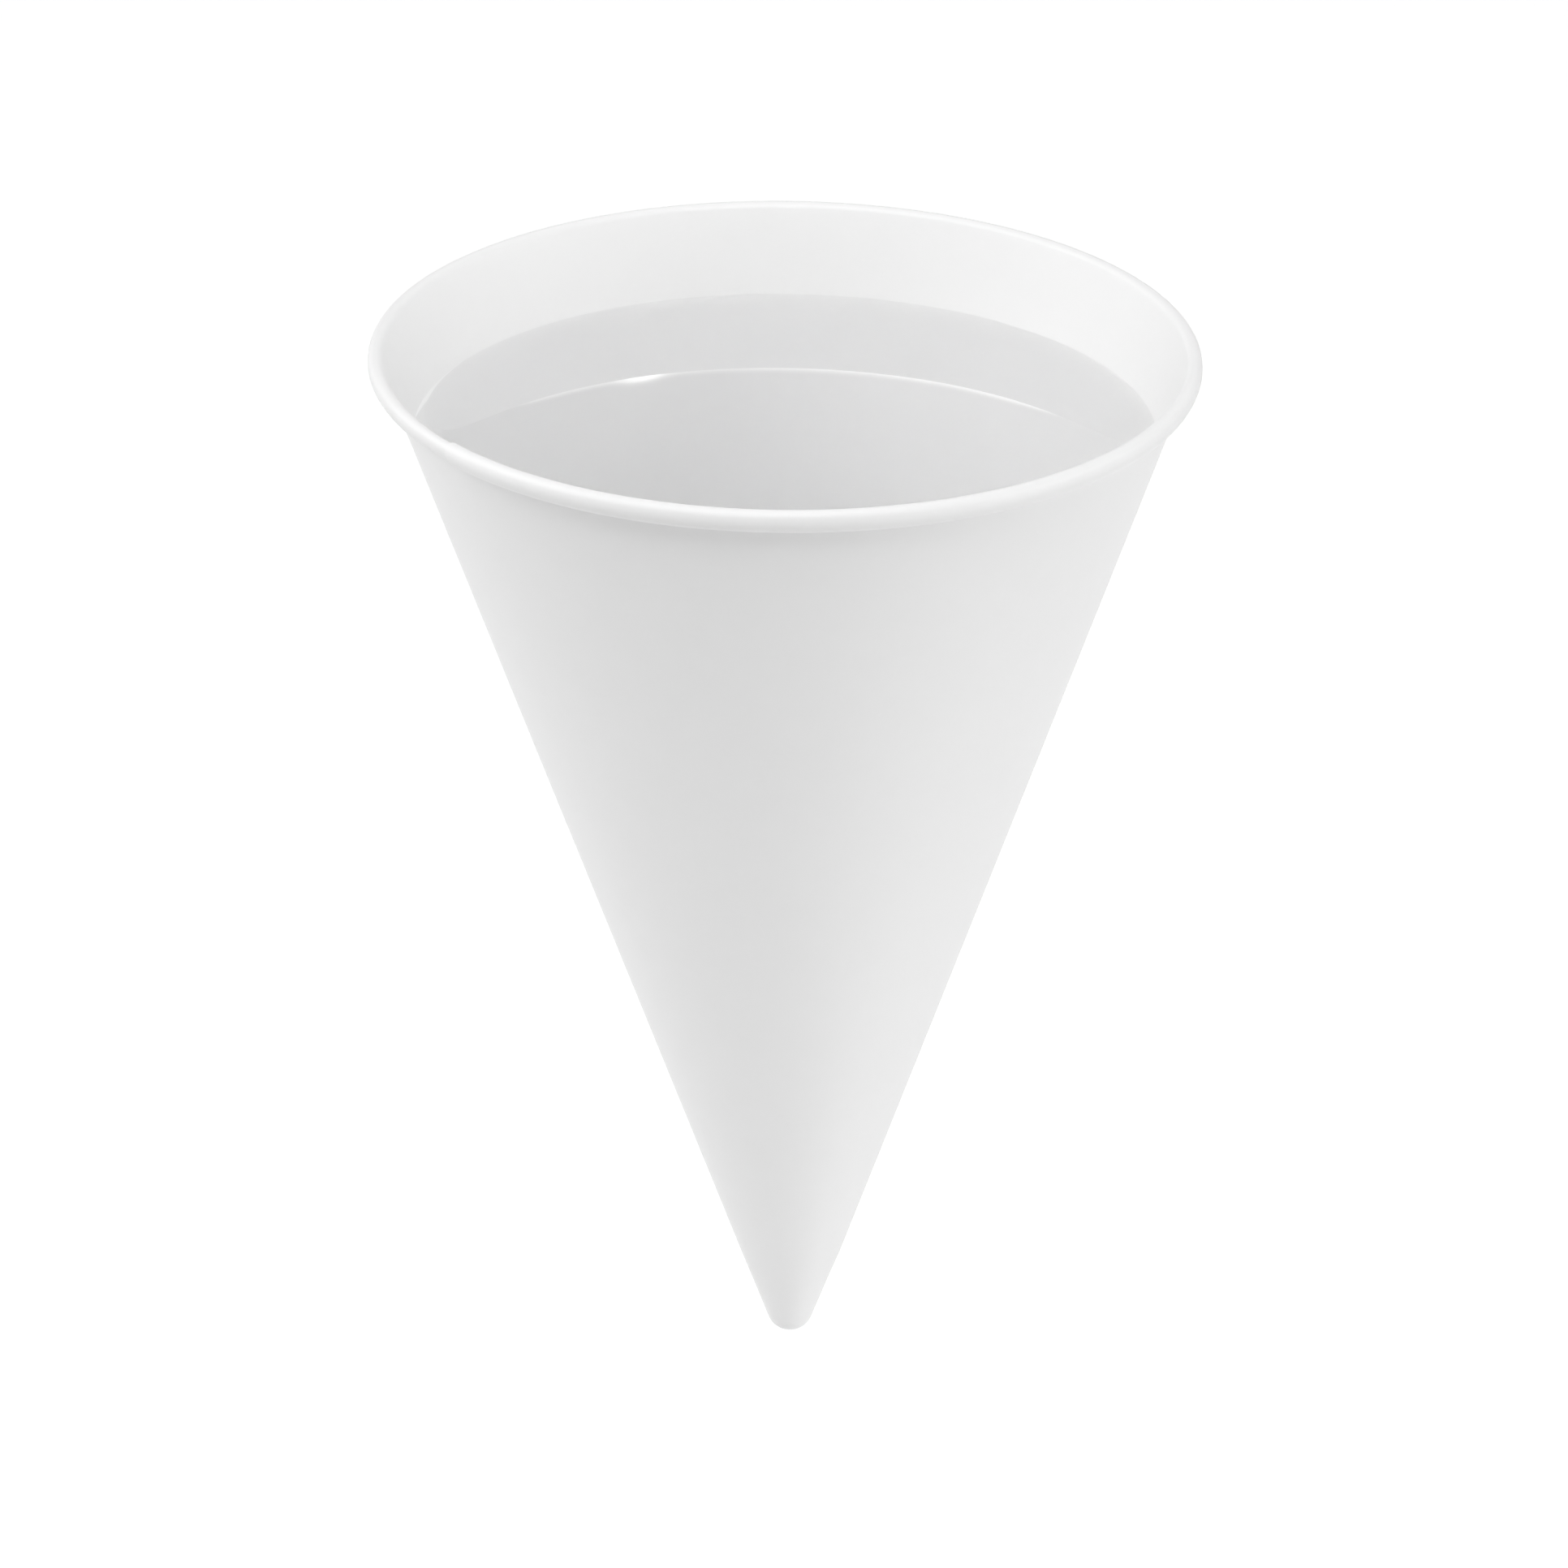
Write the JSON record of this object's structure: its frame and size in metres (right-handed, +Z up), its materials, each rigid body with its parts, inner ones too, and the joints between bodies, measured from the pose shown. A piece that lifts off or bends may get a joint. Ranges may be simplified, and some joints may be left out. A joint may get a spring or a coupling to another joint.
{
  "type": "cone paper cup",
  "caption": "Cone drinking cup of white paper, wound with a lapped side seam, with a rolled rim and a blunt closed tip, filled with water to just under the rim.",
  "frame": {"origin": "on the cup's axis, in the plane of the seat: the underside of the rolled rim, where a holder's ring carries the cup", "axes": "+Z up along the cup's axis, out of its mouth; -Y is the front, the doubled side of the wall; the sheet's outer edge is a seam down the +X side"},
  "size_m": [0.074, 0.074, 0.095],
  "materials": {
    "paper": "satin bleached paper",
    "water": "clear still water"
  },
  "bodies": {
    "root": {"cup": "paper", "water": "water"}
  },
  "joints": []
}
